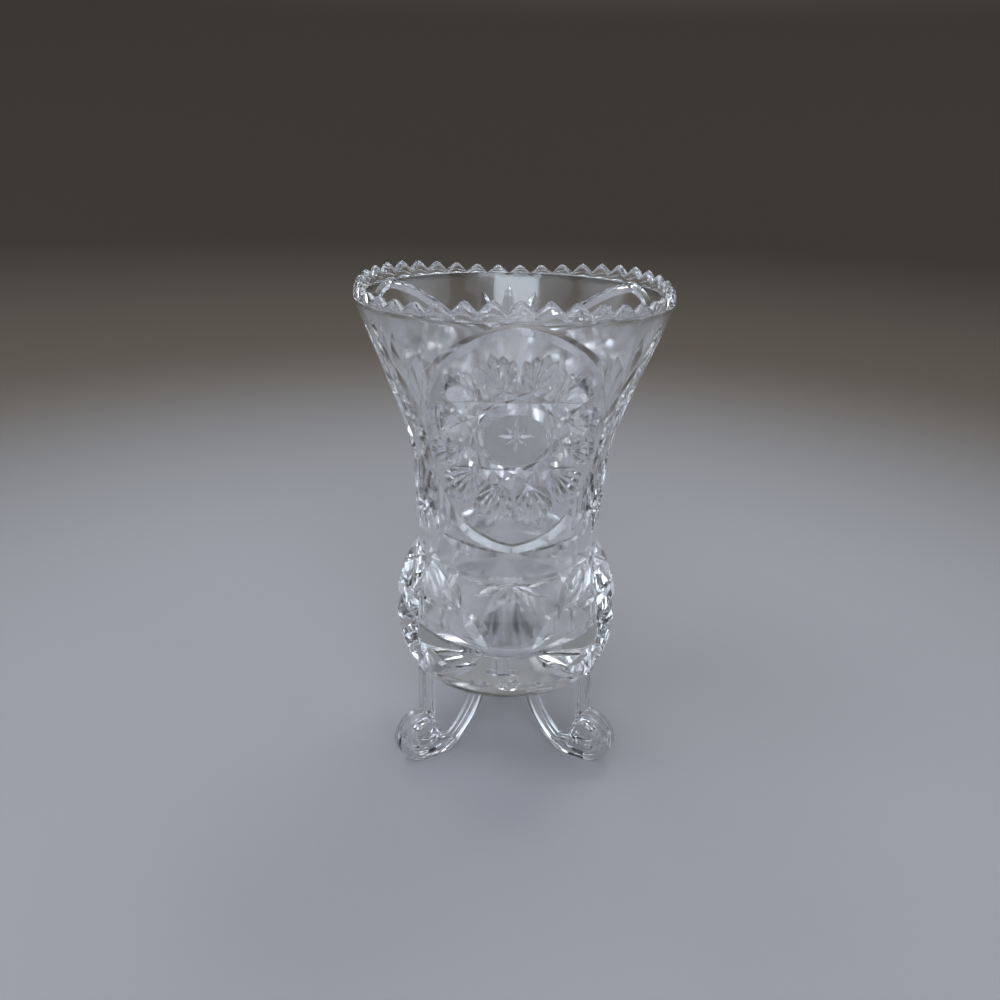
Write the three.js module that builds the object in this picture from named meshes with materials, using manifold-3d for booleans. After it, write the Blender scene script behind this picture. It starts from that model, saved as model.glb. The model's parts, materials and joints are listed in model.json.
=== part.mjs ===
// A footed vase in clear pressed glass: a flared neck with a toothed, gently scalloped rim, a round bulb
// below it, and three scroll feet. Each third of the wall carries one star medallion in a pointed oval,
// and each foot stands under a four-point star on the bulb.
// Millimetres, +Z up. The floor is z = 0, the vase's axis is the Z axis, and one medallion faces -Y.
import * as THREE from "three";
import { mergeVertices } from "three/addons/utils/BufferGeometryUtils.js";
import Module from "manifold-3d";

const wasm = await Module();
wasm.setup();

// Driving dimensions: the whole vase
const panelCount = 3;
const overallHeight = 189;
const rimRadius = 56;
const roundSegments = 48;

// Driving dimensions: the rim
const teethPerPanel = 13;
const toothDepth = 3.4;
const toothFlat = 1.1;
const scallopDrop = 3.4;
const bandHeight = 7;
const rimWall = 4;

// Driving dimensions: the neck and the flare
const neckRadius = 34.2;
const flareFootRadius = 36.2;
const flareFootHeight = 121;
const neckWall = 6.2;

// Driving dimensions: the bulb and the well inside it
const bulbRadius = 43.3;
const bulbCentreHeight = 62;
const wellRadius = 26.5;
const wellCornerRadius = 9;
const floorThickness = 12;
const baseHeight = 40;
const baseChamfer = 1.6;

// Driving dimensions: the feet
const footThickness = 7;
const footArris = 1.2;
const legOuterRadius = 36.9;
const legInnerRadius = 5;
const scrollRadius = 11;
const scrollCentreRadius = 37.3;
const scrollHoleRadius = 4.2;
const padLength = 6.3;

// Driving dimensions: the cuts, each a V groove with its own depth and width
const medallionHeight = 141.3;
const ovalHalfWidth = 36;
const ovalHalfHeight = 42;
const ovalGroove = { depth: 1.9, halfWidth: 2.5 };
const starTipRadius = 26.5;
const starPoints = 12;
const starStep = 4;
const starGroove = { depth: 2.1, halfWidth: 2.8 };
const fanFlutes = 3;
const fanFluteAngle = 20;
const fanRootInset = 0.9;
const fanClearance = 3.6;
const fanGroove = { depth: 1.9, halfWidth: 2.3 };
const leafRootHeight = 98.8;
const leafLength = 28.5;
const leafRise = 3.2;
const leafBow = 2.2;
const leafGroove = { depth: 1.7, halfWidth: 2.6 };
const spandrelRays = 5;
const spandrelRayStepBack = 1.5;
const upperSpandrelHeight = 136;
const upperSpandrelLength = 42;
const upperSpandrelAngle = 17;
const upperSpandrelGroove = { depth: 2.2, halfWidth: 3 };
const lowerSpandrelHeight = 130;
const lowerSpandrelLength = 34;
const lowerSpandrelAngle = 14;
const lowerSpandrelGroove = { depth: 1.9, halfWidth: 2.4 };
const lobeStarHeight = 63;
const lobeStarHalfWidth = 38;
const lobeStarHalfHeight = 24;
const lobeGroove = { depth: 4, halfWidth: 8 };

// Round outlines
const panelAngle = (2 * Math.PI) / panelCount;
const sphereRadiusAt = (z) => Math.sqrt(bulbRadius ** 2 - (z - bulbCentreHeight) ** 2);
const neckFootHeight = bulbCentreHeight + Math.sqrt(bulbRadius ** 2 - neckRadius ** 2);
const bandFoot = overallHeight - bandHeight;

// Points along a curve that leaves the neck upright and arrives at the rim's band nearly upright.
function flareCurve(footRadius, topRadius, steps) {
  const rise = bandFoot - flareFootHeight;
  const spread = topRadius - footRadius;
  const curve = new THREE.CubicBezierCurve(
    new THREE.Vector2(footRadius, flareFootHeight),
    new THREE.Vector2(footRadius + 0.06 * spread, flareFootHeight + 0.28 * rise),
    new THREE.Vector2(footRadius + 0.76 * spread, flareFootHeight + 0.74 * rise),
    new THREE.Vector2(topRadius, bandFoot),
  );
  return curve.getPoints(steps);
}

// Points of an arc in the profile plane, angles in radians from the outward direction.
function arcPoints(centreRadius, centreHeight, radius, from, to, steps) {
  return Array.from({ length: steps + 1 }, (_, i) => {
    const a = from + ((to - from) * i) / steps;
    return new THREE.Vector2(centreRadius + radius * Math.cos(a), centreHeight + radius * Math.sin(a));
  });
}

const bulbFootAngle = Math.asin((baseHeight + baseChamfer - bulbCentreHeight) / bulbRadius);
const bulbTopAngle = Math.asin((neckFootHeight - bulbCentreHeight) / bulbRadius);
const outerWall = [
  ...arcPoints(0, bulbCentreHeight, bulbRadius, bulbFootAngle, bulbTopAngle, 8),
  ...flareCurve(flareFootRadius, rimRadius, 8),
];

// The outer wall's radius and lean at a height, for whatever is cut into it.
function wallAt(z) {
  const last = outerWall.length - 2;
  let i = outerWall.findIndex((p) => p.y > z) - 1;
  i = Math.min(Math.max(i, 0), last);
  const [a, b] = [outerWall[i], outerWall[i + 1]];
  const share = (z - a.y) / (b.y - a.y);
  const along = b.clone().sub(a).normalize();
  return { radius: a.x + share * (b.x - a.x), out: along.y, up: -along.x };
}

// How far the rim sinks at an azimuth: nothing over a medallion, the whole drop between two.
const scallopAt = (azimuth) => (-scallopDrop / 2) * (1 - Math.cos(panelCount * azimuth));

// A closed body turned round the Z axis from a profile that runs from axis to axis.
function turned(profile) {
  const body = new THREE.LatheGeometry(profile, roundSegments);
  body.rotateX(Math.PI / 2);
  return body;
}

// manifold-3d needs shared corners, so only the positions are kept and equal ones are merged.
function solidFrom(source) {
  const bare = new THREE.BufferGeometry().setAttribute("position", source.getAttribute("position").clone());
  if (source.index) bare.setIndex(source.index.clone());
  const merged = mergeVertices(bare, 1e-4);
  const mesh = new wasm.Mesh({
    numProp: 3,
    vertProperties: new Float32Array(merged.attributes.position.array),
    triVerts: new Uint32Array(merged.index.array),
  });
  const made = new wasm.Manifold(mesh);
  if (made.volume() >= 0) return made;
  mesh.triVerts = mesh.triVerts.map((_, i, all) => all[i - (i % 3) + 2 - (i % 3)]);
  return new wasm.Manifold(mesh);
}

function geometryFrom(solid) {
  const mesh = solid.getMesh();
  const geometry = new THREE.BufferGeometry();
  geometry.setAttribute("position", new THREE.BufferAttribute(new Float32Array(mesh.vertProperties), 3));
  geometry.setIndex(new THREE.BufferAttribute(new Uint32Array(mesh.triVerts), 1));
  geometry.computeVertexNormals();
  return geometry;
}

// A point and the outward normal on the outer wall. u runs round the wall from an azimuth, v climbs the
// wall's slope from a height, both in millimetres, so a drawing keeps its shape on the flare and the bulb.
function onWall(centreAzimuth, centreHeight, u, v) {
  let z = centreHeight;
  const steps = Math.max(1, Math.ceil(Math.abs(v) / 2));
  for (let i = 0; i < steps; i += 1) z += (v / steps) * wallAt(z).out;
  const wall = wallAt(z);
  const azimuth = centreAzimuth + u / wall.radius;
  const outward = new THREE.Vector3(Math.sin(azimuth), -Math.cos(azimuth), 0);
  return {
    point: outward.clone().multiplyScalar(wall.radius).setZ(z),
    normal: outward.clone().multiplyScalar(wall.out).setZ(wall.up),
  };
}

// The cutter of one V groove along a drawn line. It is deepest half way and runs out at both ends, as a
// cut made with a wheel does. drawing(t) gives [u, v] for t from 0 to 1.
function grooveCutter(centreAzimuth, centreHeight, drawing, groove, steps, endDepth = -0.25) {
  const lift = 1.2;
  const slope = groove.halfWidth / groove.depth;
  const stations = [];
  for (let i = 0; i <= steps; i += 1) {
    const t = i / steps;
    const here = onWall(centreAzimuth, centreHeight, ...drawing(t));
    const before = onWall(centreAzimuth, centreHeight, ...drawing(Math.max(t - 0.01, 0)));
    const after = onWall(centreAzimuth, centreHeight, ...drawing(Math.min(t + 0.01, 1)));
    const forward = after.point.sub(before.point).normalize();
    const across = new THREE.Vector3().crossVectors(here.normal, forward).normalize();
    const depth = endDepth + (groove.depth - endDepth) * (1 - (2 * t - 1) ** 2);
    const halfTop = (lift + depth) * slope;
    stations.push([
      here.point.clone().addScaledVector(here.normal, -depth),
      here.point.clone().addScaledVector(here.normal, lift).addScaledVector(across, -halfTop),
      here.point.clone().addScaledVector(here.normal, lift).addScaledVector(across, halfTop),
    ]);
  }
  const corners = stations.flat();
  const faces = [0, 1, 2];
  for (let i = 0; i < steps; i += 1) {
    for (let side = 0; side < 3; side += 1) {
      const [a, b] = [3 * i + side, 3 * i + ((side + 1) % 3)];
      faces.push(a, a + 3, b, b, a + 3, b + 3);
    }
  }
  const end = 3 * steps;
  faces.push(end, end + 2, end + 1);
  const geometry = new THREE.BufferGeometry().setFromPoints(corners);
  geometry.setIndex(faces);
  return solidFrom(geometry);
}

const lineBetween = (from, to) => (t) => [from[0] + t * (to[0] - from[0]), from[1] + t * (to[1] - from[1])];
const radians = (degrees) => (degrees * Math.PI) / 180;

// The point at a distance and a direction from another one on a drawing, angles from the u direction.
const reachFrom = (point, length, angle) => [
  point[0] + length * Math.cos(angle),
  point[1] + length * Math.sin(angle),
];

// The pointed oval is two arcs, each centred beyond the other side of the medallion's upright axis.
const ovalOffset = (ovalHalfHeight ** 2 - ovalHalfWidth ** 2) / (2 * ovalHalfWidth);
const ovalRadius = ovalHalfWidth + ovalOffset;

// One side of the pointed oval round a medallion: an arc from its top point to its bottom point.
function ovalSide(side) {
  const reach = Math.asin(ovalHalfHeight / ovalRadius);
  return (t) => {
    const a = reach * (1 - 2 * t);
    return [side * (ovalRadius * Math.cos(a) - ovalOffset), ovalRadius * Math.sin(a)];
  };
}

// How far a line runs from a point inside the oval until the clearance along the oval's arcs.
function lengthInsideOval(point, angle) {
  const distances = [-1, 1].map((side) => {
    const [u, v] = [point[0] + side * ovalOffset, point[1]];
    const along = u * Math.cos(angle) + v * Math.sin(angle);
    return -along + Math.sqrt(along ** 2 - u ** 2 - v ** 2 + (ovalRadius - fanClearance) ** 2);
  });
  return Math.min(...distances);
}

// Between two neighbouring tips of the star, a fan of flutes spreads from the star's inner corner.
function fanCutters(centreAzimuth) {
  const half = Math.PI / starPoints;
  const cornerRadius = (starTipRadius * Math.cos(starStep * half)) / Math.cos((starStep - 1) * half);
  const cutters = [];
  for (let i = 0; i < starPoints; i += 1) {
    const middle = Math.PI / 2 + (2 * i + 1) * half;
    const root = reachFrom([0, 0], cornerRadius - fanRootInset, middle);
    for (let k = 0; k < fanFlutes; k += 1) {
      const angle = middle + (k - (fanFlutes - 1) / 2) * radians(fanFluteAngle);
      const length = lengthInsideOval(root, angle);
      if (!(length > fanGroove.halfWidth)) continue;
      const flute = lineBetween(root, reachFrom(root, length, angle));
      cutters.push(grooveCutter(centreAzimuth, medallionHeight, flute, fanGroove, 2));
    }
  }
  return cutters;
}

// Between two medallions, long mitres spread up over the flare and down over the neck. direction is 1 for up.
function spandrelCutters(azimuth, height, length, stepAngle, direction, groove) {
  return Array.from({ length: spandrelRays }, (_, k) => {
    const place = k - (spandrelRays - 1) / 2;
    const angle = direction * (Math.PI / 2) + place * radians(stepAngle);
    const ray = lineBetween([0, 0], reachFrom([0, 0], length - spandrelRayStepBack * Math.abs(place), angle));
    return grooveCutter(azimuth, height, ray, groove, 2);
  });
}

// A leaf that bows down and away from the oval's bottom point.
function leafDrawing(side) {
  return (t) => [side * leafLength * t, leafRise * t - 4 * leafBow * t * (1 - t)];
}

// The cuts of one third of the wall, round the medallion that faces centreAzimuth.
function panelCutters(centreAzimuth) {
  const cutters = [];
  for (const side of [-1, 1]) {
    cutters.push(grooveCutter(centreAzimuth, medallionHeight, ovalSide(side), ovalGroove, 10, 1));
  }
  const tip = (i) => {
    const a = Math.PI / 2 + (i * 2 * Math.PI) / starPoints;
    return [starTipRadius * Math.cos(a), starTipRadius * Math.sin(a)];
  };
  for (let i = 0; i < starPoints; i += 1) {
    const chord = lineBetween(tip(i), tip(i + starStep));
    cutters.push(grooveCutter(centreAzimuth, medallionHeight, chord, starGroove, 3));
  }
  cutters.push(...fanCutters(centreAzimuth));
  for (const side of [-1, 1]) {
    cutters.push(grooveCutter(centreAzimuth, leafRootHeight, leafDrawing(side), leafGroove, 4));
  }
  const lobeAzimuth = centreAzimuth + panelAngle / 2;
  const across = lineBetween([-lobeStarHalfWidth, 0], [lobeStarHalfWidth, 0]);
  const upright = lineBetween([0, -lobeStarHalfHeight], [0, lobeStarHalfHeight]);
  cutters.push(grooveCutter(lobeAzimuth, lobeStarHeight, across, lobeGroove, 8));
  cutters.push(grooveCutter(lobeAzimuth, lobeStarHeight, upright, lobeGroove, 6));
  cutters.push(
    ...spandrelCutters(
      lobeAzimuth,
      upperSpandrelHeight,
      upperSpandrelLength,
      upperSpandrelAngle,
      1,
      upperSpandrelGroove,
    ),
    ...spandrelCutters(
      lobeAzimuth,
      lowerSpandrelHeight,
      lowerSpandrelLength,
      lowerSpandrelAngle,
      -1,
      lowerSpandrelGroove,
    ),
  );
  return cutters;
}

// A wedge that cuts the gap between two teeth, seen along the radius, centred on an azimuth.
function toothCutter(azimuth) {
  const pitch = (2 * Math.PI * rimRadius) / (teethPerPanel * panelCount);
  const halfGap = (pitch - toothFlat) / 2;
  const lift = 1;
  const widen = (toothDepth + lift + scallopDrop) / toothDepth;
  const wedge = new THREE.Shape([
    new THREE.Vector2(0, -toothDepth),
    new THREE.Vector2(halfGap * widen, (widen - 1) * toothDepth),
    new THREE.Vector2(-halfGap * widen, (widen - 1) * toothDepth),
  ]);
  const depth = 4 * rimWall;
  const cutter = new THREE.ExtrudeGeometry(wedge, { depth, bevelEnabled: false });
  cutter.rotateX(Math.PI / 2);
  cutter.translate(0, -rimRadius + depth - rimWall, overallHeight + scallopAt(azimuth));
  cutter.rotateZ(azimuth);
  return solidFrom(cutter);
}

// The vase's body: bulb, neck and flare round one smooth well.
function vaseBody() {
  const innerRimRadius = rimRadius - rimWall;
  const floorHeight = baseHeight + floorThickness;
  const inside = [
    new THREE.Vector2(innerRimRadius, overallHeight),
    ...flareCurve(flareFootRadius - neckWall, innerRimRadius, 6).reverse(),
    ...arcPoints(
      wellRadius - wellCornerRadius,
      floorHeight + wellCornerRadius,
      wellCornerRadius,
      0,
      -Math.PI / 2,
      4,
    ),
    new THREE.Vector2(0, floorHeight),
  ];
  const profile = [
    new THREE.Vector2(0, baseHeight),
    new THREE.Vector2(sphereRadiusAt(baseHeight + baseChamfer) - baseChamfer, baseHeight),
    ...outerWall,
    new THREE.Vector2(rimRadius, overallHeight),
    ...inside,
  ];
  const blank = turned(profile);
  // Only the rim's top edge follows the scallop.
  const places = blank.getAttribute("position");
  for (let i = 0; i < places.count; i += 1) {
    if (places.getZ(i) > overallHeight - 0.01) {
      places.setZ(i, places.getZ(i) + scallopAt(Math.atan2(places.getX(i), -places.getY(i))));
    }
  }
  const cutters = [];
  for (let i = 0; i < panelCount; i += 1) cutters.push(...panelCutters(i * panelAngle));
  const toothCount = teethPerPanel * panelCount;
  for (let i = 0; i < toothCount; i += 1) {
    cutters.push(toothCutter(((i + 0.5) * 2 * Math.PI) / toothCount));
  }
  return geometryFrom(solidFrom(blank).subtract(wasm.Manifold.union(cutters)));
}

// One foot, drawn in the plane of the axis: a leg with a long curved inner edge, and at its toe a round
// scroll with a hole. It stands on a short flat pad, and its flat top meets the bulb's base.
function footBody() {
  const notchHeight = scrollRadius + Math.sqrt(scrollRadius ** 2 - (scrollCentreRadius - legOuterRadius) ** 2);
  const notchAngle = Math.atan2(notchHeight - scrollRadius, legOuterRadius - scrollCentreRadius);
  const above = baseHeight + 3 * footArris;
  const padInner = scrollCentreRadius - padLength;
  const outline = new THREE.Shape();
  outline.moveTo(legOuterRadius, above);
  outline.lineTo(legOuterRadius, notchHeight);
  outline.absarc(scrollCentreRadius, scrollRadius, scrollRadius, notchAngle, -Math.PI / 2, true);
  outline.lineTo(padInner, 0);
  outline.bezierCurveTo(
    padInner - 0.27 * (padInner - legInnerRadius),
    0,
    padInner - 0.73 * (padInner - legInnerRadius),
    0.4 * baseHeight,
    legInnerRadius,
    0.9 * baseHeight,
  );
  outline.lineTo(legInnerRadius, above);
  const hole = new THREE.Path();
  hole.absarc(scrollCentreRadius, scrollRadius + 1, scrollHoleRadius, 0, 2 * Math.PI, false);
  outline.holes.push(hole);
  const blank = new THREE.ExtrudeGeometry(outline, {
    depth: footThickness - 2 * footArris,
    bevelEnabled: true,
    bevelSize: footArris,
    bevelThickness: footArris,
    bevelOffset: -footArris,
    bevelSegments: 1,
    curveSegments: 9,
  });
  blank.translate(0, 0, footArris - footThickness / 2);
  blank.rotateX(Math.PI / 2);
  const keep = new THREE.BoxGeometry(4 * rimRadius, 4 * rimRadius, 2 * baseHeight);
  return geometryFrom(solidFrom(blank).intersect(solidFrom(keep)));
}

const glass = new THREE.MeshStandardMaterial({
  color: new THREE.Color(0.9, 0.93, 0.95),
  roughness: 0.03,
  metalness: 0,
  transparent: true,
  opacity: 0.35,
});

const vase = new THREE.Group();
vase.name = "footed_vase";

const body = new THREE.Mesh(vaseBody(), glass);
body.name = "vase_body";
vase.add(body);

// The feet stand between the medallions. Angle zero of a foot points along +X.
const footGeometry = footBody();
const footNames = ["foot_front_right", "foot_rear", "foot_front_left"];
footNames.forEach((name, i) => {
  const foot = new THREE.Mesh(footGeometry, glass.clone());
  foot.name = name;
  foot.rotation.z = -Math.PI / 2 + panelAngle / 2 + i * panelAngle;
  vase.add(foot);
});

export default vase;
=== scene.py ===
# %% [markdown]
# # A footed vase in pressed glass
# The real vase is one melt of clear glass, pressed in a mould and fire-polished: a flared neck with a
# toothed rim, a round bulb, and three scroll feet. Its look comes from the cuts in its outer wall, because
# clear glass shows nothing but the edges and facets that bend the light. So this lesson turns a smooth
# blank, draws each cut flat, wraps it onto the wall, and takes it out of the glass.
#
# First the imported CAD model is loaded. It is the fixed frame: every piece goes where it says.

# %% Load the frame
import json
import math

import bmesh
import bpy
import numpy as np
from mathutils import Matrix, Vector

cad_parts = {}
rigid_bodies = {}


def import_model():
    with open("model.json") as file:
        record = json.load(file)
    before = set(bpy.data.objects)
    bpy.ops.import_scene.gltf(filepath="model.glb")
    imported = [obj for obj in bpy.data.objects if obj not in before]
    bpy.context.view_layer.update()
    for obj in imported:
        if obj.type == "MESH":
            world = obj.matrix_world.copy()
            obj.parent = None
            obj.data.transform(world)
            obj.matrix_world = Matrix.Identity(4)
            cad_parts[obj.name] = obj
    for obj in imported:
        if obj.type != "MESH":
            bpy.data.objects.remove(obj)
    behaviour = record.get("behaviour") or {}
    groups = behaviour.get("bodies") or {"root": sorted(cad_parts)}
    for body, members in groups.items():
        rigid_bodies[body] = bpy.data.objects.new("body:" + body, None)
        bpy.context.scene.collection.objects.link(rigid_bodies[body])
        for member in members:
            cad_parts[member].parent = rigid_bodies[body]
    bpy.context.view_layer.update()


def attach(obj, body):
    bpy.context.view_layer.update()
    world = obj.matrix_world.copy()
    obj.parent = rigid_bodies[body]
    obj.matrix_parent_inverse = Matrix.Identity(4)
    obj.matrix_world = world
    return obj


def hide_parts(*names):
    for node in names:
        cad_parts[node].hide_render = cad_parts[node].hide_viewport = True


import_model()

# %% [markdown]
# The camera stands where the photographer stood: close to the vase and above its rim, looking down about
# 22 degrees, with a slight tilt of the picture. Its axes are worked out once in a frame where it stands due
# south, and then turned round the vase, because the medallion doesn't quite face it.

# %% Camera
CAMERA_DISTANCE = 0.322
CAMERA_HEIGHT = 0.23265
CAMERA_PITCH = math.radians(21.734)
CAMERA_YAW = math.radians(0.595)
CAMERA_ROLL = math.radians(1.341)
VASE_TURN = math.radians(2.504)
FOCAL_PIXELS = 905.3
FRAME_PIXELS = 1000
SENSOR_WIDTH = 36


def photo_camera():
    pitch = Matrix.Rotation(math.pi / 2 - CAMERA_PITCH, 4, "X")
    roll = Matrix.Rotation(CAMERA_ROLL, 4, "Z")
    yaw = Matrix.Rotation(CAMERA_YAW, 4, "Z")
    stand = Matrix.Translation((0, -CAMERA_DISTANCE, CAMERA_HEIGHT))
    turn = Matrix.Rotation(-VASE_TURN, 4, "Z")
    data = bpy.data.cameras.new("photo_camera")
    data.sensor_width = SENSOR_WIDTH
    data.lens = FOCAL_PIXELS / FRAME_PIXELS * SENSOR_WIDTH
    data.clip_start = 0.01
    camera = bpy.data.objects.new("photo_camera", data)
    camera.matrix_world = turn @ stand @ yaw @ pitch @ roll
    bpy.context.scene.collection.objects.link(camera)
    return camera


bpy.context.scene.camera = photo_camera()
print("camera at", [round(v, 3) for v in bpy.context.scene.camera.matrix_world.translation])

# %% [markdown]
# ## The wall
# All lengths below are in millimetres, as on the drawing, and each finished piece is scaled to metres once.
# The outer wall is a sphere for the bulb, a short upright neck, and a flare that ends nearly upright at the
# band under the teeth. A Bezier curve with the CAD's four control points gives the flare.

# %% The wall's outline
MM = 0.001
PANELS = 3
PANEL_ANGLE = 2 * math.pi / PANELS
OVERALL_HEIGHT = 189.0
RIM_RADIUS = 56.0
RIM_WALL = 4.0
BAND_FOOT = 182.0
FLARE_FOOT = (36.2, 121.0)
NECK_RADIUS = 34.2
NECK_WALL = 6.2
BULB_RADIUS = 43.3
BULB_CENTRE = 62.0
WELL_RADIUS = 26.5
WELL_CORNER = 9.0
WELL_FLOOR = 52.0
BASE_HEIGHT = 40.0
BASE_CHAMFER = 1.6


def bezier(a, b, c, d, steps):
    """Points on a cubic curve from a to d, with b and c as its handles."""
    t = np.linspace(0, 1, steps + 1)[:, None]
    return (1 - t) ** 3 * a + 3 * t * (1 - t) ** 2 * b + 3 * t * t * (1 - t) * c + t**3 * d


def flare(foot_radius, top_radius, steps):
    """The flare of the neck, from its foot up to the band, between two radii."""
    rise = BAND_FOOT - FLARE_FOOT[1]
    spread = top_radius - foot_radius
    a = np.array([foot_radius, FLARE_FOOT[1]])
    b = a + [0.06 * spread, 0.28 * rise]
    c = a + [0.76 * spread, 0.74 * rise]
    d = a + [spread, rise]
    return [tuple(p) for p in bezier(a, b, c, d, steps)]


def arc(centre, radius, start, finish, steps):
    turns = np.linspace(start, finish, steps + 1)
    return [(centre[0] + radius * math.cos(a), centre[1] + radius * math.sin(a)) for a in turns]


neck_foot = BULB_CENTRE + math.sqrt(BULB_RADIUS**2 - NECK_RADIUS**2)
bulb_top = math.asin((neck_foot - BULB_CENTRE) / BULB_RADIUS)
bulb_foot = math.asin((BASE_HEIGHT + BASE_CHAMFER - BULB_CENTRE) / BULB_RADIUS)
bulb_wall = arc((0, BULB_CENTRE), BULB_RADIUS, bulb_foot, bulb_top, 26)
flare_wall = flare(FLARE_FOOT[0], RIM_RADIUS, 30)
print("neck foot at", round(neck_foot, 2), "mm; outer wall points", len(bulb_wall) + len(flare_wall))

# %% [markdown]
# A drawing that is to be cut into this wall needs a map: a height along the wall's slope gives a radius and
# an outward direction. The table below measures the slope's length once, a little past both of its ends.

# %% A map of the wall
MAP_FOOT_TURN = -0.75
MAP_TOP = 200.0
MAP_STEP = 0.25
SMOOTHING = 9
below = arc((0, BULB_CENTRE), BULB_RADIUS, MAP_FOOT_TURN, bulb_foot, 8)[:-1]
map_points = np.array(below + bulb_wall + flare_wall + [(RIM_RADIUS, MAP_TOP)])
map_run = np.concatenate([[0], np.cumsum(np.hypot(*np.diff(map_points, axis=0).T))])
fine_run = np.arange(0, map_run[-1], MAP_STEP)
fine_radius = np.interp(fine_run, map_run, map_points[:, 0])
fine_height = np.interp(fine_run, map_run, map_points[:, 1])


def leaning(values):
    """How fast the values change along the wall, evened out over a few steps."""
    padded = np.pad(values, SMOOTHING // 2, "edge")
    return np.gradient(np.convolve(padded, np.ones(SMOOTHING) / SMOOTHING, "valid"))


lean_out = leaning(fine_height)
lean_up = -leaning(fine_radius)


def on_wall(azimuth, height, drawn):
    """Where a drawn point lands: x runs round the wall, y climbs its slope and z stands out of it."""
    run = np.interp(height, fine_height, fine_run) + drawn.y
    radius = np.interp(run, fine_run, fine_radius)
    out = np.interp(run, fine_run, lean_out)
    up = np.interp(run, fine_run, lean_up)
    size = math.hypot(out, up)
    turn = azimuth + drawn.x / radius
    reach = radius + drawn.z * out / size
    level = np.interp(run, fine_run, fine_height) + drawn.z * up / size
    return Vector((reach * math.sin(turn), -reach * math.cos(turn), level))


print("wall length", round(map_run[-1], 1), "mm")

# %% [markdown]
# ## The blank
# The blank is a profile spun round the axis, from the middle of the underside, up the outer wall, over the
# rim and down the well. A lathe (Screw modifier) would do too, but a bmesh spin leaves a plain mesh that the
# rim can be shaped on. The number of steps is eight for each of the 39 teeth.

# %% Turn the blank
TEETH = 39
TOOTH_DEPTH = 3.4
TOOTH_FLAT = 1.1
SCALLOP_DROP = 3.4
ROUND_STEPS = TEETH * 8
BAND = ((-0.6, 0.5), (0.0, 1.1), (0.0, 2.6), (-0.3, 2.9))
LIP_INSET = 2.1
LIP_HALF_WIDTH = 1.8
LIP_HALF_HEIGHT = 2.5


def turn_outwards(shape):
    """Faces point out of a closed solid when its volume comes out positive."""
    bmesh.ops.recalc_face_normals(shape, faces=shape.faces)
    if shape.calc_volume(signed=True) < 0:
        bmesh.ops.reverse_faces(shape, faces=shape.faces)


def turned(profile, steps):
    """A skin from a profile in the XZ plane, turned once round the Z axis."""
    shape = bmesh.new()
    verts = [shape.verts.new((r, 0, z)) for r, z in profile]
    edges = [shape.edges.new(pair) for pair in zip(verts, verts[1:])]
    bmesh.ops.spin(
        shape, geom=verts + edges, cent=(0, 0, 0), axis=(0, 0, 1),
        angle=2 * math.pi, steps=steps, use_merge=True, use_duplicate=False,
    )
    bmesh.ops.remove_doubles(shape, verts=shape.verts, dist=1e-4)
    return shape


def spun(profile, steps):
    """A closed solid, from a profile that closes on the axis or on itself."""
    shape = turned(profile, steps)
    turn_outwards(shape)
    return shape


inner_rim = RIM_RADIUS - RIM_WALL
band = [(RIM_RADIUS + out, BAND_FOOT + up) for out, up in BAND]
lip_level = OVERALL_HEIGHT - LIP_HALF_HEIGHT
lip = [
    (RIM_RADIUS - LIP_INSET + LIP_HALF_WIDTH * math.cos(a), lip_level + LIP_HALF_HEIGHT * math.sin(a))
    for a in np.linspace(0, math.pi, 11)
]
well = flare(FLARE_FOOT[0] - NECK_WALL, inner_rim, 26)[::-1]
corner = arc((WELL_RADIUS - WELL_CORNER, WELL_FLOOR + WELL_CORNER), WELL_CORNER, 0, -math.pi / 2, 8)
profile = [(0, BASE_HEIGHT), (bulb_wall[0][0] - BASE_CHAMFER, BASE_HEIGHT)]
profile += bulb_wall + flare_wall + band + lip + well + corner + [(0, WELL_FLOOR)]
blank = spun(profile, ROUND_STEPS)
print("blank faces", len(blank.faces))

# %% [markdown]
# The rim's top edge rises and falls twice over: it sinks a little between the medallions, and it is pressed
# into 39 teeth. The glass above the band is simply squeezed down by the right share at each azimuth, which
# keeps the round cross-section that fire-polishing gives every tooth.

# %% Press the teeth


def rim_drop(azimuth):
    pitch = 2 * math.pi * RIM_RADIUS / TEETH
    off_tip = abs((azimuth * TEETH / (2 * math.pi) + 0.5) % 1 - 0.5) * pitch
    gap = min(max((off_tip - TOOTH_FLAT / 2) / (pitch / 2 - TOOTH_FLAT / 2), 0), 1)
    return TOOTH_DEPTH * gap + SCALLOP_DROP / 2 * (1 - math.cos(PANELS * azimuth))


for vert in blank.verts:
    if vert.co.z > BAND_FOOT:
        azimuth = math.atan2(vert.co.x, -vert.co.y)
        share = (vert.co.z - BAND_FOOT) / (OVERALL_HEIGHT - BAND_FOOT)
        vert.co.z -= share * rim_drop(azimuth)
print("rim from", round(max(v.co.z for v in blank.verts), 2), "mm down by", TOOTH_DEPTH + SCALLOP_DROP)

# %% [markdown]
# ## The cuts
# Every cut on this vase is a mitre, the V-shaped groove of a cutter's wheel. It gets deeper as the wheel
# sinks in and runs out where it lifts off. A cutter here is a three-sided bar, divided along its length.
# Its corners are set along a drawn line, and the bar is then wrapped onto the wall. It stands a little proud
# of the wall, the more so the wider it is, because the wall curves away under it. Taking real solids out of
# the blank gives real facets, where a bump map would leave the outline smooth and bend no light at the edges.
#
# The same glass has four finishes. The blank starts fire polished, except inside, where the steel plunger
# that presses the well leaves its own faint texture.

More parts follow.
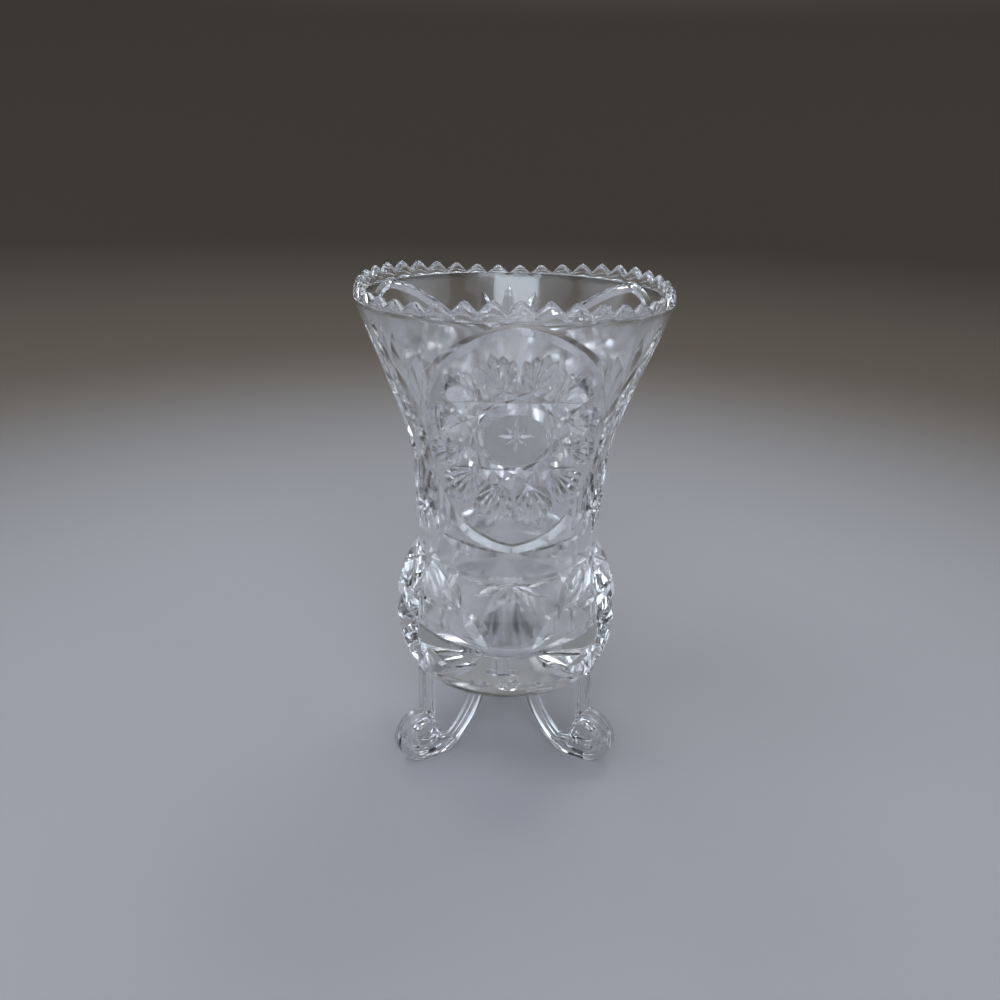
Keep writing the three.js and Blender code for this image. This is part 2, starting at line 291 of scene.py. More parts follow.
# %% One mitre
CUTTER_PROUD = 0.8
WALL_CURVE = 36.0
cutters = bpy.data.collections.new("cutters")
FINISH_NAMES = ("polished_glass", "frosted_glass", "cut_glass", "plunger_glass")
FINISHES = [bpy.data.materials.new(name) for name in FINISH_NAMES]
POLISHED, FROSTED, CUT, PLUNGER = 0, 1, 2, 3
for face in blank.faces:
    middle = face.calc_center_median()
    inward = face.normal.dot(Vector((middle.x, middle.y, 0))) < 0
    on_floor = face.normal.z > 0.5 and middle.z < WELL_FLOOR + WELL_CORNER
    if middle.z < BAND_FOOT and (inward or on_floor) and middle.z > WELL_FLOOR - 1:
        face.material_index = PLUNGER


def place_cutter(name, shape, azimuth, height, finish):
    """Wraps a drawn cutter onto the wall and repeats it for the three panels."""
    for vert in shape.verts:
        vert.co = on_wall(azimuth, height, vert.co)
    turn_outwards(shape)
    for face in shape.faces:
        face.material_index = finish
    for panel in range(PANELS):
        mesh = bpy.data.meshes.new(name)
        shape.to_mesh(mesh)
        mesh.transform(Matrix.Rotation(panel * PANEL_ANGLE, 4, "Z"))
        for material in FINISHES:
            mesh.materials.append(material)
        cutters.objects.link(bpy.data.objects.new(name, mesh))
    shape.free()


def mitre(name, line, spot, depth, half_width, peak=0.5, ends=(-0.3, -0.3), steps=8, blunt=2):
    """line(t) draws the groove for t from 0 to 1. Its origin sits at the spot on the wall.

    It is deepest at peak, ends gives its depth at both ends, and blunt keeps it deep for longer.
    """
    slope = half_width / depth
    lift = CUTTER_PROUD + half_width**2 / WALL_CURVE

    def section(t):
        ahead = line(min(t + 0.01, 1)) - line(max(t - 0.01, 0))
        across = Vector((-ahead.y, ahead.x, 0)).normalized()
        side = peak if t < peak else 1 - peak
        end = ends[0] if t < peak else ends[1]
        off = abs(t - peak) / side if side else 0
        sunk = end + (depth - end) * (1 - off**blunt)
        top = line(t) + Vector((0, 0, lift))
        spread = across * (lift + sunk) * slope
        return [line(t) - Vector((0, 0, sunk)), top + spread, top - spread]

    shape = bmesh.new()
    bmesh.ops.create_cone(shape, cap_ends=True, segments=3, radius1=1, radius2=1, depth=1)
    along = [e for e in shape.edges if abs(e.verts[0].co.z - e.verts[1].co.z) > 0.5]
    bmesh.ops.subdivide_edges(shape, edges=along, cuts=steps - 1, use_grid_fill=True)
    for vert in shape.verts:
        keel, left_wing, right_wing = section(vert.co.z + 0.5)
        vert.co = keel if vert.co.y > 0.5 else left_wing if vert.co.x < 0 else right_wing
    place_cutter(name, shape, spot[0], spot[1], CUT)


def straight(start, finish):
    a, b = Vector((*start, 0)), Vector((*finish, 0))
    return lambda t: a.lerp(b, t)


def bowed(start, finish, bow):
    """A line that bulges to its left by bow."""
    a, b = Vector((*start, 0)), Vector((*finish, 0))
    left = Vector((a.y - b.y, b.x - a.x, 0)).normalized()
    return lambda t: a.lerp(b, t) + left * bow * 4 * t * (1 - t)


def polar(radius, degrees):
    a = math.radians(degrees)
    return (radius * math.cos(a), radius * math.sin(a))


print("mitre tools ready, finishes", [m.name for m in FINISHES])

# %% [markdown]
# ## The medallion
# A pointed oval frames each medallion. It is two arcs that cross at the top and the bottom. The star inside
# is a hobstar: twelve straight cuts, each from one tip to the fourth tip on, leave a ring of raised kites
# round a twelve-sided button.

# %% The pointed oval and the hobstar
MEDALLION = (0.0, 141.3)
OVAL_HALF_WIDTH = 36.0
OVAL_HALF_HEIGHT = 42.0
STAR_TIP = 26.5
STAR_POINTS = 12
STAR_STEP = 4
oval_offset = (OVAL_HALF_HEIGHT**2 - OVAL_HALF_WIDTH**2) / (2 * OVAL_HALF_WIDTH)
oval_radius = OVAL_HALF_WIDTH + oval_offset
oval_reach = math.asin(OVAL_HALF_HEIGHT / oval_radius)


def oval_side(side):
    def line(t):
        a = oval_reach * (1 - 2 * t)
        return Vector((side * (oval_radius * math.cos(a) - oval_offset), oval_radius * math.sin(a), 0))

    return line


for side in (-1, 1):
    mitre("oval_ring", oval_side(side), MEDALLION, depth=1.9, half_width=2.5, ends=(1.4, 1.4), steps=30)
for point in range(STAR_POINTS):
    turn = 360 / STAR_POINTS
    start = polar(STAR_TIP, 90 + point * turn)
    finish = polar(STAR_TIP, 90 + (point + STAR_STEP) * turn)
    chord = straight(start, finish)
    mitre("star_chord", chord, MEDALLION, depth=2.2, half_width=2.7, steps=16, blunt=4.5)

# %% [markdown]
# Between two tips of the star sits a small fan: five short mitres that spring from the corner where the long
# cuts cross, and spread nearly to the oval, so they are longer above and below. They start thin and end
# blunt, as the wheel is lifted late. Their walls are steeper than the star's, so that a fan shows dark lines
# between its bright flutes.

# %% The fans between the star's tips
FAN_ROOT = 17.8
FAN_STEP_DEGREES = 13
FAN_LONGEST = 35.0
FAN_CLEARANCE = 2.9
FLUTE_STEP_BACK = 0.07
FLUTE_WIDTH = 0.115
FLUTE_STEEPNESS = 1.1


def oval_reach_at(degrees):
    """The distance from the medallion's middle to the pointed oval, in a direction."""
    a = math.radians(degrees)
    across = oval_offset * abs(math.cos(a))
    return -across + math.sqrt(across**2 + oval_radius**2 - oval_offset**2)


for point in range(STAR_POINTS):
    middle = 90 + (point + 0.5) * 360 / STAR_POINTS
    root = Vector(polar(FAN_ROOT, middle))
    length = min(oval_reach_at(middle) - FAN_CLEARANCE, FAN_LONGEST) - FAN_ROOT
    for flute in range(-2, 3):
        side_on = 1 - FLUTE_STEP_BACK * abs(flute)
        tip = root + Vector(polar(length * side_on, middle + flute * FAN_STEP_DEGREES))
        width = FLUTE_WIDTH * length
        mitre(
            "fan_flute", straight(root, tip), MEDALLION, depth=FLUTE_STEEPNESS * width,
            half_width=width, peak=0.7, ends=(-0.2, -0.35), steps=9, blunt=2.4,
        )

# %% [markdown]
# The button in the middle is ground matt, and a small clear star of eight rays is cut into it. The matt disc
# is a shallow dish turned from its own little profile and wrapped like the rest, so its faces can carry the
# frosted finish through the cut.

# %% The frosted button and its star
BUTTON_RADIUS = 10.2
DISH_DEPTH = 0.12
DISH_SLOPE = 0.15
DISH_PROUD = 1.5
dish_profile = [(0, -DISH_DEPTH)] + [(BUTTON_RADIUS * k / 7, -DISH_DEPTH) for k in range(1, 8)]
dish_profile += [(BUTTON_RADIUS + DISH_SLOPE, DISH_PROUD), (0, DISH_PROUD)]
place_cutter("button_dish", spun(dish_profile, 48), *MEDALLION, FROSTED)
BUTTON_STAR = (0.0, 143.0)
BUTTON_RAYS = (8.4, 5.8, 7.2, 5.8)
for ray in range(8):
    tip = polar(BUTTON_RAYS[ray % 4], 90 + 45 * ray)
    mitre(
        "button_ray", straight((0, 0), tip), BUTTON_STAR, depth=0.85, half_width=0.95,
        peak=0.22, ends=(0.3, -0.15), steps=6,
    )

# %% [markdown]
# ## The neck
# From the oval's lower point two leaves sweep out on each side. Between the ovals the wall has a tall fan
# that opens upwards into the flare, and a shorter one that opens down towards the bulb.

# %% Leaves and spandrel fans
OVAL_FOOT = (0.0, 98.8)
for side in (-1, 1):
    low = bowed((side * 1.0, -0.6), (side * 28.5, 3.2), -2.2 * side)
    high = bowed((side * 2.0, 1.6), (side * 22.0, 10.0), -1.2 * side)
    mitre("low_leaf", low, OVAL_FOOT, depth=1.95, half_width=2.6, steps=12)
    mitre("high_leaf", high, OVAL_FOOT, depth=1.45, half_width=1.9, steps=12)

SPANDREL = PANEL_ANGLE / 2
UPPER_FAN = (SPANDREL, 136.0)
LOWER_FAN = (SPANDREL, 130.0)
for ray in range(-2, 3):
    up = straight((0, 0), polar(45.5 - 1.5 * abs(ray), 90 + 15 * ray))
    mitre("upper_ray", up, UPPER_FAN, depth=2.2, half_width=3.0, peak=0.62, steps=14, blunt=2.6)
for ray in range(-2, 3):
    down = straight((0, 0), polar(34 - 1.5 * abs(ray), 270 + 14 * ray))
    mitre("lower_ray", down, LOWER_FAN, depth=1.9, half_width=2.4, peak=0.6, steps=12, blunt=2.4)

# %% [markdown]
# ## The bulb
# Where the neck stands on the bulb, a half star spreads down over its shoulder under every medallion: seven
# rays, long and shallow at the sides, short and deep below.

# %% The shoulder star
SHOULDER_STAR = (0.0, 86.3)
SHOULDER_RAYS = (
    (3, 21, 0.75),
    (177, 21, 0.75),
    (-20, 17, 0.8),
    (-160, 17, 0.8),
    (-50, 15.5, 1.3),
    (-130, 15.5, 1.3),
    (-90, 11, 1.1),
)
for degrees, length, depth in SHOULDER_RAYS:
    line = straight((0, 0), polar(length, degrees))
    mitre("shoulder_ray", line, SHOULDER_STAR, depth, 1.7 * depth, peak=0.35, ends=(0.2, -0.3))

# %% [markdown]
# Over each foot the bulb carries one large star with four points: two wide mitres, cut deep, that cross. A
# pointed arch of narrower mitres stands over it, a leaf closes each side, and a bar and two kites fill the
# corners. The star is wrapped round a ball, so the deep cuts run out in points by themselves.

# %% The four-point star over each foot
LOBE = (PANEL_ANGLE / 2, 63.0)
SIDE_TIP = 38.0
UP_TIP = 27.5
DOWN_TIP = -20.5
ARCH_CORNER = (24.8, 14.0)
across = straight((-SIDE_TIP, 0), (SIDE_TIP, 0))
upright = straight((0, DOWN_TIP), (0, UP_TIP))
mitre("lobe_across", across, LOBE, depth=3.8, half_width=7.4, steps=24, blunt=1.6)
mitre("lobe_upright", upright, LOBE, depth=4.0, half_width=8.0, peak=0.43, steps=20)
for side in (-1, 1):
    corner_at = (side * ARCH_CORNER[0], ARCH_CORNER[1])
    tip_at = (side * SIDE_TIP, 0.5)
    leaf = bowed(corner_at, tip_at, 1.0 * side)
    arch = bowed((side * 0.6, UP_TIP), corner_at, 2.0 * side)
    bar = straight((side * 1.0, ARCH_CORNER[1]), corner_at)
    low = bowed(tip_at, (side * 12.0, DOWN_TIP + 2), 1.5 * side)
    kite = straight((side * 6.0, -2.5), (side * 27.0, -14.0))
    mitre("lobe_leaf", leaf, LOBE, depth=1.8, half_width=3.2, steps=12)
    mitre("lobe_arch", arch, LOBE, depth=1.7, half_width=2.9, peak=0.62, steps=12)
    mitre("lobe_bar", bar, LOBE, depth=0.9, half_width=1.6, steps=8)
    mitre("lobe_low", low, LOBE, depth=1.0, half_width=1.8, steps=12)
    mitre("lobe_kite", kite, LOBE, depth=1.1, half_width=1.9, steps=10)

# %% [markdown]
# Low on the bulb, a long shallow mitre runs from each foot to the middle of the panel, just above the
# base's edge, and a small fan of five rays stands on that edge under the medallion.

# %% The cuts round the base
BASE_LINE = (0.0, 45.0)
BASE_FAN = (0.0, 44.5)
for side in (-1, 1):
    leaf = bowed((side * 3.0, -1.6), (side * 33.0, 1.0), 1.0 * side)
    mitre("base_leaf", leaf, BASE_LINE, depth=1.1, half_width=2.1, steps=12)
for ray in range(-2, 3):
    tip = polar(10.5 - abs(ray), 90 + 24 * ray)
    mitre("base_ray", straight((0, 0), tip), BASE_FAN, depth=0.8, half_width=1.2)

# %% [markdown]
# ## Taking the cuts out
# One Boolean modifier takes all the cutters out of the blank at once. The Manifold solver is the fast one in
# Blender 4.5 and gives a closed mesh. The finish of each cutter's faces stays with the facets it leaves.
# Afterwards the shading is smooth, except over edges that are sharper than a set angle.

# %% Cut the body
FACET_DEGREES = 18
FOOT_FACET_DEGREES = 30


def new_piece(name, shape=None, mesh=None):
    """Puts a finished shape, drawn in millimetres, into the scene in metres."""
    if mesh is None:
        mesh = bpy.data.meshes.new(name)
        shape.to_mesh(mesh)
        shape.free()
        mesh.transform(Matrix.Scale(MM, 4))
    piece = bpy.data.objects.new(name, mesh)
    bpy.context.scene.collection.objects.link(piece)
    return piece


def cut_out(name, piece, tools):
    """The piece's mesh with all of the tools' solids taken out of it."""
    cut = piece.modifiers.new("cut", "BOOLEAN")
    cut.operation = "DIFFERENCE"
    cut.solver = "MANIFOLD"
    cut.operand_type = "COLLECTION"
    cut.collection = tools
    graph = bpy.context.evaluated_depsgraph_get()
    result = bpy.data.meshes.new_from_object(piece.evaluated_get(graph))
    bpy.data.objects.remove(piece)
    for tool in list(tools.objects):
        bpy.data.objects.remove(tool)
    bpy.data.collections.remove(tools)
    return new_piece(name, mesh=result)


def crisp(piece, degrees):
    """Smooth shading everywhere, except over edges sharper than the angle."""
    piece.data.shade_smooth()
    piece.data.set_sharp_from_angle(angle=math.radians(degrees))


for tool in cutters.objects:
    tool.data.transform(Matrix.Scale(MM, 4))
bpy.context.scene.collection.children.link(cutters)
blank_piece = new_piece("blank", blank)
for material in FINISHES:
    blank_piece.data.materials.append(material)
vase_glass = cut_out("vase_glass", blank_piece, cutters)
crisp(vase_glass, FACET_DEGREES)
print("vase_glass faces", len(vase_glass.data.polygons), "materials", len(vase_glass.data.materials))

# %% [markdown]
# ## The feet
# A foot is a flat scroll in the plane of the axis. Its outline is drawn, extruded to its thickness, and its
# edges are rounded as the fire leaves them. The outline goes on a little above the base, and a block trims
# its top flat later, so that the top edge stays sharp where the foot meets the bulb.

# %% Draw a foot
FOOT_THICKNESS = 7.0
FOOT_ARRIS = 1.7
LEG_OUTER = 38.0
LEG_INNER = 5.0
SCROLL_RADIUS = 11.2
SCROLL_CENTRE = 37.6
HOLE_CENTRE = (37.3, 12.0)
HOLE_RADIUS = 4.2
PAD_LENGTH = 6.3
HOLLOW_DEPTH = 2.2


def inner_edge(steps, inset=0.0):
    """The long curved inner edge, from the pad up to the base, moved into the foot by inset."""
    pad = SCROLL_CENTRE - PAD_LENGTH
    a, d = np.array([pad, 0.0]), np.array([LEG_INNER, 0.9 * BASE_HEIGHT])
    b = np.array([pad - 0.34 * (pad - LEG_INNER), 0.0])
    c = np.array([pad - 0.73 * (pad - LEG_INNER), 0.4 * BASE_HEIGHT])
    points = bezier(a, b, c, d, steps)
    ahead = np.gradient(points, axis=0)
    inward = np.stack([ahead[:, 1], -ahead[:, 0]], 1) / np.hypot(*ahead.T)[:, None]
    return [tuple(p) for p in points + inset * inward]


def plate(outline, thickness, arris, segments=3):
    """A flat plate in the XY plane, centred on it, with its edges rounded."""
    shape = bmesh.new()
    face = shape.faces.new([shape.verts.new((x, y, -thickness / 2)) for x, y in outline])
    grown = bmesh.ops.extrude_face_region(shape, geom=[face])["geom"]
    lifted = [item for item in grown if isinstance(item, bmesh.types.BMVert)]
    bmesh.ops.translate(shape, verts=lifted, vec=(0, 0, thickness))
    turn_outwards(shape)
    if arris:
        flat = [e for e in shape.edges if abs(e.verts[0].co.z - e.verts[1].co.z) < 1e-6]
        bmesh.ops.bevel(
            shape, geom=flat, offset=arris, offset_type="OFFSET", affect="EDGES",
            segments=segments, profile=0.5, material=-1, clamp_overlap=True,
        )
    return shape


notch_height = SCROLL_RADIUS + math.sqrt(SCROLL_RADIUS**2 - (SCROLL_CENTRE - LEG_OUTER) ** 2)
notch_angle = math.atan2(notch_height - SCROLL_RADIUS, LEG_OUTER - SCROLL_CENTRE)
FOOT_TOP = BASE_HEIGHT + 0.25
TRIM = 4.0
outline = [(LEG_OUTER, FOOT_TOP + TRIM)]
outline += arc((SCROLL_CENTRE, SCROLL_RADIUS), SCROLL_RADIUS, notch_angle, -math.pi / 2, 30)
outline += inner_edge(30)
outline += [(LEG_INNER, FOOT_TOP + TRIM)]
foot_blank = plate(outline, FOOT_THICKNESS, FOOT_ARRIS, segments=4)
print("foot faces", len(foot_blank.faces))

# %% [markdown]
# What is left to take out of a foot is turned or drawn. A bobbin, wider at both ends, makes the scroll's hole
# with its soft lip. A plate with chamfered edges makes the hollow on each side, so that two bars stand up and
# the inner end of the outer one curls round the hole. A ring with a V section draws the line of the scroll.

# %% Cut a foot
BAR = 4.0
SLANT_BAR = 3.4
CURL_RADIUS = 5.9
CURL_END = math.radians(230)
HOLE_LIP = 1.4
LIP_TURN = 1.2
PLATE = 6.0
HOLLOW_FOOT = 6.0
SCROLL_LINE = ((6.6, 0.4), (7.9, -1.2), (9.2, 0.4), (9.2, 2.0), (6.6, 2.0))
BLOCK = 80.0


def foot_cutters():
    """The scroll's hole, the hollow and the scroll's line on each side, and the flat top."""
    tools = bpy.data.collections.new("foot_cutters")
    half = FOOT_THICKNESS / 2
    flare_out = [
        (HOLE_RADIUS + HOLE_LIP * (1 - math.cos(a)), half - HOLE_LIP + HOLE_LIP * math.sin(a))
        for a in np.linspace(0, LIP_TURN, 5)
    ]
    up = flare_out + [(HOLE_RADIUS + 2.2, half + 1.0), (0, half + 1.0)]
    bobbin = spun([(r, -z) for r, z in up[::-1]] + up, 40)
    bmesh.ops.translate(bobbin, verts=bobbin.verts, vec=(*HOLE_CENTRE, 0))
    shapes = [bobbin]
    curl_start = math.acos((LEG_OUTER - BAR - HOLE_CENTRE[0]) / CURL_RADIUS)
    curl = arc(HOLE_CENTRE, CURL_RADIUS, curl_start, CURL_END, 14)
    slant = [p for p in inner_edge(30, SLANT_BAR) if HOLLOW_FOOT < p[1] < BASE_HEIGHT - 2]
    above = BASE_HEIGHT + 3
    hollow = [(LEG_OUTER - BAR, above)] + curl + slant + [(slant[-1][0], above)]
    for side in (-1, 1):
        pocket = plate(hollow, PLATE, HOLLOW_DEPTH, segments=1)
        outwards = side * (half + PLATE / 2 - HOLLOW_DEPTH)
        bmesh.ops.translate(pocket, verts=pocket.verts, vec=(0, 0, outwards))
        shapes.append(pocket)
        groove = [(r, side * (half + z)) for r, z in SCROLL_LINE]
        ring = spun(groove + groove[:1], 48)
        bmesh.ops.translate(ring, verts=ring.verts, vec=(*HOLE_CENTRE, 0))
        shapes.append(ring)
    block = bmesh.new()
    bmesh.ops.create_cube(block, size=BLOCK)
    bmesh.ops.translate(block, verts=block.verts, vec=(BLOCK / 4, FOOT_TOP + BLOCK / 2, 0))
    shapes.append(block)
    for shape in shapes:
        turn_outwards(shape)
        mesh = bpy.data.meshes.new("foot_cutter")
        shape.to_mesh(mesh)
        shape.free()
        mesh.transform(Matrix.Scale(MM, 4))
        mesh.materials.append(FINISHES[POLISHED])
        tools.objects.link(bpy.data.objects.new("foot_cutter", mesh))
    bpy.context.scene.collection.children.link(tools)
    return tools


foot_piece = new_piece("foot_blank", foot_blank)
foot_piece.data.materials.append(FINISHES[POLISHED])
foot_master = cut_out("foot_master", foot_piece, foot_cutters())
foot_master.data.transform(Matrix.Rotation(math.pi / 2, 4, "X"))
crisp(foot_master, FOOT_FACET_DEGREES)
print("foot_master faces", len(foot_master.data.polygons))

# %% [markdown]
# One foot is made, and its mesh is copied and turned to the three places between the medallions. Each piece
# then takes the place of its CAD node and rides on the only body.

# %% Stand the three feet
feet = []
for index, node in enumerate(("foot_front_right", "foot_rear", "foot_front_left")):
    mesh = foot_master.data.copy()
    mesh.transform(Matrix.Rotation(-math.pi / 2 + PANEL_ANGLE / 2 + index * PANEL_ANGLE, 4, "Z"))
    foot = new_piece(node + "_glass", mesh=mesh)
    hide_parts(node)
    feet.append(foot)
bpy.data.objects.remove(foot_master)
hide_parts("vase_body")
for piece in [vase_glass] + feet:
    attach(piece, "root")
print("pieces", [piece.name for piece in [vase_glass] + feet])

# %% [markdown]
# ## The glass
# Fire-polished glass isn't optically flat: it carries faint waves from the mould, and its arrises, the edges
# between two facets, are slightly rounded. Both are in one node group, which every finish uses at its own
# strength: a noise on Object coordinates feeds a Bump, and a Bevel node softens the normal at the arrises,
# which catches light there without any more faces.

# %% Waves in pressed glass


def node_group(name, inputs, outputs):
    group = bpy.data.node_groups.new(name, "ShaderNodeTree")
    for label, kind, value in inputs:
        socket = group.interface.new_socket(name=label, in_out="INPUT", socket_type=kind)
        socket.default_value = value
    for label, kind in outputs:
        group.interface.new_socket(name=label, in_out="OUTPUT", socket_type=kind)
    return group, group.nodes.new("NodeGroupInput"), group.nodes.new("NodeGroupOutput")


def mould_waves():
    group, given, result = node_group(
        "mould_waves",
        [
            ("Scale", "NodeSocketFloat", 90.0),
            ("Height", "NodeSocketFloat", 0.0001),
            ("Arris", "NodeSocketFloat", 0.0003),
        ],
        [("Normal", "NodeSocketVector")],
    )
    nodes, links = group.nodes, group.links
    place = nodes.new("ShaderNodeTexCoord")
    noise = nodes.new("ShaderNodeTexNoise")
    noise.inputs["Detail"].default_value = 1.5
    noise.inputs["Roughness"].default_value = 0.4
    bump = nodes.new("ShaderNodeBump")
    bump.inputs["Strength"].default_value = 1.0
    links.new(place.outputs["Object"], noise.inputs["Vector"])
    links.new(given.outputs["Scale"], noise.inputs["Scale"])
    links.new(noise.outputs["Fac"], bump.inputs["Height"])
    links.new(given.outputs["Height"], bump.inputs["Distance"])
    arris = nodes.new("ShaderNodeBevel")
    arris.samples = 4
    links.new(given.outputs["Arris"], arris.inputs["Radius"])
    links.new(arris.outputs["Normal"], bump.inputs["Normal"])
    links.new(bump.outputs["Normal"], result.inputs["Normal"])
    return group


waves = mould_waves()
print("group", waves.name)

# %% [markdown]
# Handling leaves its own marks: a thin haze in patches where fingers and cloths don't reach. A second group
# gives the roughness, from its clear value up to its hazy one, by a finer noise.

# %% Haze


def handling_haze():
    group, given, result = node_group(
        "handling_haze",
        [
            ("Scale", "NodeSocketFloat", 55.0),
            ("Clear", "NodeSocketFloat", 0.0),
            ("Hazy", "NodeSocketFloat", 0.06),
        ],
        [("Roughness", "NodeSocketFloat")],
    )
    nodes, links = group.nodes, group.links
    place = nodes.new("ShaderNodeTexCoord")
    noise = nodes.new("ShaderNodeTexNoise")
    noise.inputs["Detail"].default_value = 4.0
    spread = nodes.new("ShaderNodeMapRange")
    spread.inputs["From Min"].default_value = 0.5
    spread.inputs["From Max"].default_value = 0.72
    links.new(place.outputs["Object"], noise.inputs["Vector"])
    links.new(given.outputs["Scale"], noise.inputs["Scale"])
    links.new(noise.outputs["Fac"], spread.inputs["Value"])
    links.new(given.outputs["Clear"], spread.inputs["To Min"])
    links.new(given.outputs["Hazy"], spread.inputs["To Max"])
    links.new(spread.outputs["Result"], result.inputs["Roughness"])
    return group


haze = handling_haze()
print("group", haze.name)

# %% [markdown]
# All four finishes are the same clear glass, with its faint cool tint. The wall and the feet are fire
# polished, and the facets of the cuts are crisper. The plunger's side, inside the vase, is a little dull, so
# the far wall reads softer than the near one. The button is ground matt, which scatters the light.

# %% Four finishes of one glass


def glass(material, colour, clear, hazy, wave_height, wave_scale):
    material.use_nodes = True
    nodes, links = material.node_tree.nodes, material.node_tree.links
    shader = nodes["Principled BSDF"]
    shader.inputs["Base Color"].default_value = (*colour, 1)
    shader.inputs["Transmission Weight"].default_value = 1.0
    shader.inputs["IOR"].default_value = 1.52
    rough = nodes.new("ShaderNodeGroup")
    rough.node_tree = haze
    rough.inputs["Clear"].default_value = clear
    rough.inputs["Hazy"].default_value = hazy
    links.new(rough.outputs["Roughness"], shader.inputs["Roughness"])
    wave = nodes.new("ShaderNodeGroup")
    wave.node_tree = waves
    wave.inputs["Scale"].default_value = wave_scale
    wave.inputs["Height"].default_value = wave_height
    links.new(wave.outputs["Normal"], shader.inputs["Normal"])


CLEAR_TINT = (0.98, 0.98, 0.99)
FROST_TINT = (0.94, 0.95, 0.96)
glass(FINISHES[POLISHED], CLEAR_TINT, clear=0.0, hazy=0.03, wave_height=0.00012, wave_scale=90.0)
glass(FINISHES[CUT], CLEAR_TINT, clear=0.0, hazy=0.02, wave_height=0.00004, wave_scale=120.0)
glass(FINISHES[PLUNGER], CLEAR_TINT, clear=0.12, hazy=0.16, wave_height=0.0002, wave_scale=60.0)
glass(FINISHES[FROSTED], FROST_TINT, clear=0.42, hazy=0.55, wave_height=0.00003, wave_scale=2500.0)
print("materials", [m.name for m in vase_glass.data.materials])

# %% [markdown]
# ## The studio
# Clear glass only shows its facets when there is something lighter and something darker for them to bend into
# view. The floor is plain and pale round the vase, sweeps up all the way round, and darkens into a dim, warm
# backdrop. That darkening is painted shade: a pool of light round the vase, with its falloff painted into the
# floor's colour. Its top fades out into the dome behind it, so that no edge shows through the glass.

# %% Floor
PALE_WITHIN = 0.2
DIM_BEYOND = 0.8
FADE_FOOT = 0.6
FADE_TOP = 1.1
# Painted light: the pale tone is the floor's colour round the vase, and the dim tone is painted shade farther
# out
LIT_FLOOR_TONE = (0.385, 0.376, 0.388)
SHADED_FLOOR_TONE = (0.155, 0.127, 0.097)
FLOOR_REACH = 2.0
SWEEP = 1.5


def floor_with_painted_falloff():
    """A painted pool of light: pale near the vase, dim and warm farther out as painted shade, and clear at
    the top of the sweep.
    """
    material = bpy.data.materials.new("pale_floor")
    material.use_nodes = True
    nodes, links = material.node_tree.nodes, material.node_tree.links
    shader = nodes["Principled BSDF"]
    shader.inputs["Roughness"].default_value = 0.8
    shader.inputs["Specular IOR Level"].default_value = 0.2
    place = nodes.new("ShaderNodeTexCoord")
    distance = nodes.new("ShaderNodeVectorMath")
    distance.operation = "LENGTH"
    spread = nodes.new("ShaderNodeMapRange")
    spread.interpolation_type = "SMOOTHSTEP"
    spread.inputs["From Min"].default_value = PALE_WITHIN
    spread.inputs["From Max"].default_value = DIM_BEYOND
    # Painted falloff of light: the floor's colour darkens with the distance from the vase
    tone = nodes.new("ShaderNodeMix")
    tone.data_type = "RGBA"
    tone.inputs["A"].default_value = (*LIT_FLOOR_TONE, 1)
    tone.inputs["B"].default_value = (*SHADED_FLOOR_TONE, 1)
    links.new(place.outputs["Object"], distance.inputs[0])
    links.new(distance.outputs["Value"], spread.inputs["Value"])
    links.new(spread.outputs["Result"], tone.inputs["Factor"])
    links.new(tone.outputs["Result"], shader.inputs["Base Color"])
    split = nodes.new("ShaderNodeSeparateXYZ")
    fade = nodes.new("ShaderNodeMapRange")
    fade.interpolation_type = "SMOOTHSTEP"
    fade.inputs["From Min"].default_value = FADE_FOOT
    fade.inputs["From Max"].default_value = FADE_TOP
    fade.inputs["To Min"].default_value = 1.0
    fade.inputs["To Max"].default_value = 0.0
    links.new(place.outputs["Object"], split.inputs["Vector"])
    links.new(split.outputs["Z"], fade.inputs["Value"])
    links.new(fade.outputs["Result"], shader.inputs["Alpha"])
    return material


def pale_floor():
    """A round floor that sweeps up into its own backdrop all the way round."""
    side = [(0, 0)] + arc((FLOOR_REACH, SWEEP), SWEEP, -math.pi / 2, -0.25, 20)
    shape = turned(side, 96)
    bmesh.ops.recalc_face_normals(shape, faces=shape.faces)
    mesh = bpy.data.meshes.new("floor")
    shape.to_mesh(mesh)
    shape.free()
    mesh.shade_smooth()
    mesh.materials.append(floor_with_painted_falloff())
    floor = bpy.data.objects.new("floor", mesh)
    bpy.context.scene.collection.objects.link(floor)


pale_floor()
print("floor laid")

# %% [markdown]
# The world is a soft grey dome, lightest just above the horizon and darker higher up. Wide boxes stand low
# and high in front, and smaller ones at both sides, all with a little cool daylight in them. They give the
# facets their bright patches. Two plain lamps high at the back draw the rim. A lamp's level is the light
# that it sheds, whatever its size, so a wide box is dimmer to look at and doesn't burn out through the glass.

# %% World and lamps
VASE_MIDDLE = Vector((0, 0, 0.1))
PLAIN, COOL = (1.0, 1.0, 1.0), (0.77, 0.87, 1.0)
DOME_STRENGTH = 2.0
DOME_TONES = (
    (0.0, (0.05, 0.05, 0.05)),
    (0.28, (0.14, 0.14, 0.14)),
    (0.5, (0.12, 0.125, 0.13)),
    (0.75, (0.06, 0.065, 0.07)),
    (1.0, (0.12, 0.13, 0.14)),
)


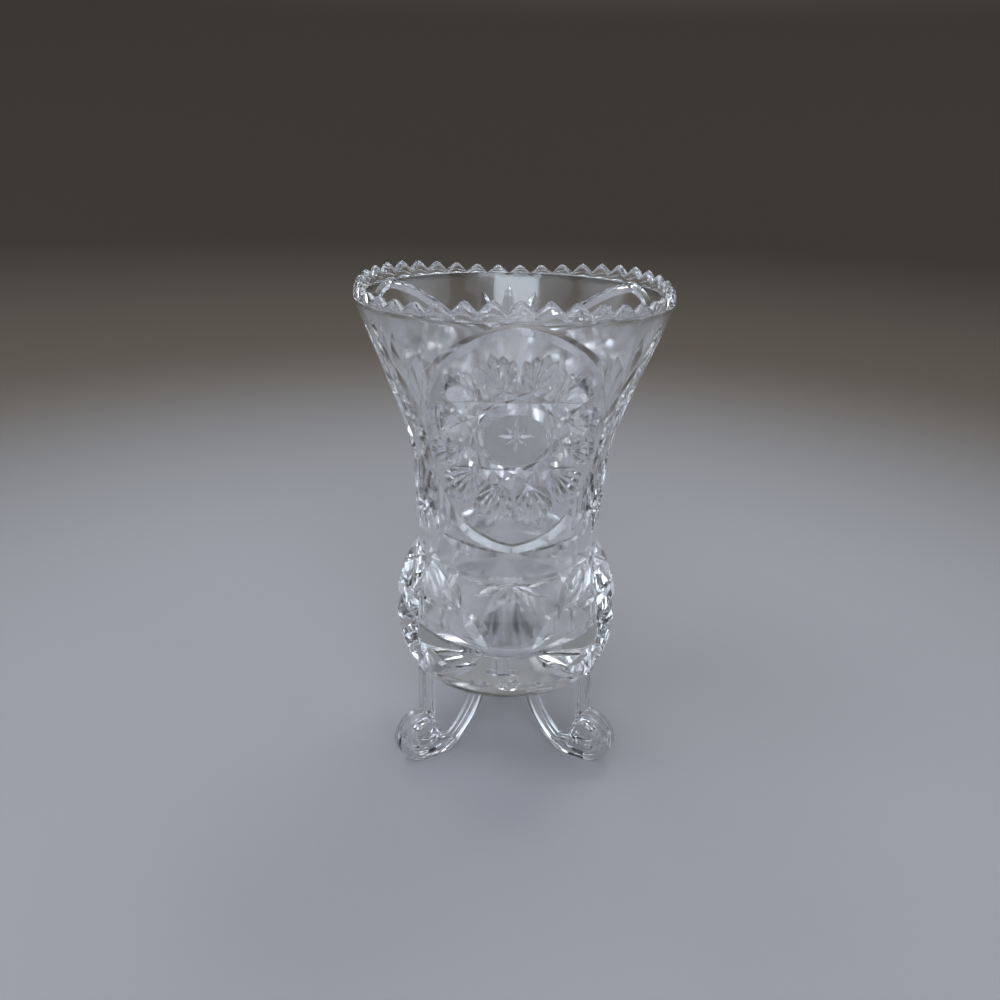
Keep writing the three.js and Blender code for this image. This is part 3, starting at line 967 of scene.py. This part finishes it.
def soft_dome():
    world = bpy.data.worlds.new("soft_dome")
    world.use_nodes = True
    nodes, links = world.node_tree.nodes, world.node_tree.links
    background = nodes["Background"]
    place = nodes.new("ShaderNodeTexCoord")
    split = nodes.new("ShaderNodeSeparateXYZ")
    ramp = nodes.new("ShaderNodeValToRGB")
    stops = ramp.color_ramp.elements
    for position, _ in DOME_TONES[1:-1]:
        stops.new(position)
    for stop, (position, tone) in zip(stops, DOME_TONES):
        stop.position = position
        stop.color = (*tone, 1)
    links.new(place.outputs["Generated"], split.inputs["Vector"])
    links.new(split.outputs["Z"], ramp.inputs["Fac"])
    links.new(ramp.outputs["Color"], background.inputs["Color"])
    background.inputs["Strength"].default_value = DOME_STRENGTH
    bpy.context.scene.world = world


def soft_lamp(name, azimuth, elevation, distance, size, level, colour):
    """A soft box that faces the vase. level is what it sheds on a surface turned to it, as a share of pi."""
    a, e = math.radians(azimuth), math.radians(elevation)
    place = Vector((math.sin(a) * math.cos(e), -math.cos(a) * math.cos(e), math.sin(e))) * distance
    data = bpy.data.lights.new(name, "AREA")
    data.shape = "RECTANGLE"
    data.size, data.size_y = size
    data.energy = level * (math.pi * distance) ** 2
    data.color = colour
    lamp = bpy.data.objects.new(name, data)
    lamp.location = place
    aim = VASE_MIDDLE - place
    lamp.rotation_euler = aim.to_track_quat("-Z", "Y").to_euler()
    bpy.context.scene.collection.objects.link(lamp)


soft_dome()
# Each lamp: its azimuth and elevation in degrees, its distance and size in metres, its level and its colour
soft_lamp("front_low", -6, 24, 1.9, (3.4, 1.2), 0.36, COOL)
soft_lamp("front_side", 20, 24, 1.9, (0.55, 0.5), 0.10, COOL)
soft_lamp("front_high", -4, 40, 1.9, (1.1, 0.6), 0.28, COOL)
soft_lamp("left", -62, 62, 1.8, (1.0, 0.9), 0.22, COOL)
soft_lamp("low_left", -84, 20, 1.8, (1.5, 0.8), 0.14, COOL)
soft_lamp("low_right", 80, 20, 1.8, (1.5, 0.8), 0.14, COOL)
soft_lamp("back_right", 148, 62, 1.3, (0.5, 0.5), 0.18, PLAIN)
soft_lamp("back_left", -145, 60, 1.4, (0.5, 0.5), 0.10, PLAIN)
scene = bpy.context.scene
scene.view_settings.view_transform = "Standard"
scene.cycles.max_bounces = 24
scene.cycles.transmission_bounces = 24
scene.cycles.glossy_bounces = 8
scene.cycles.transparent_max_bounces = 16
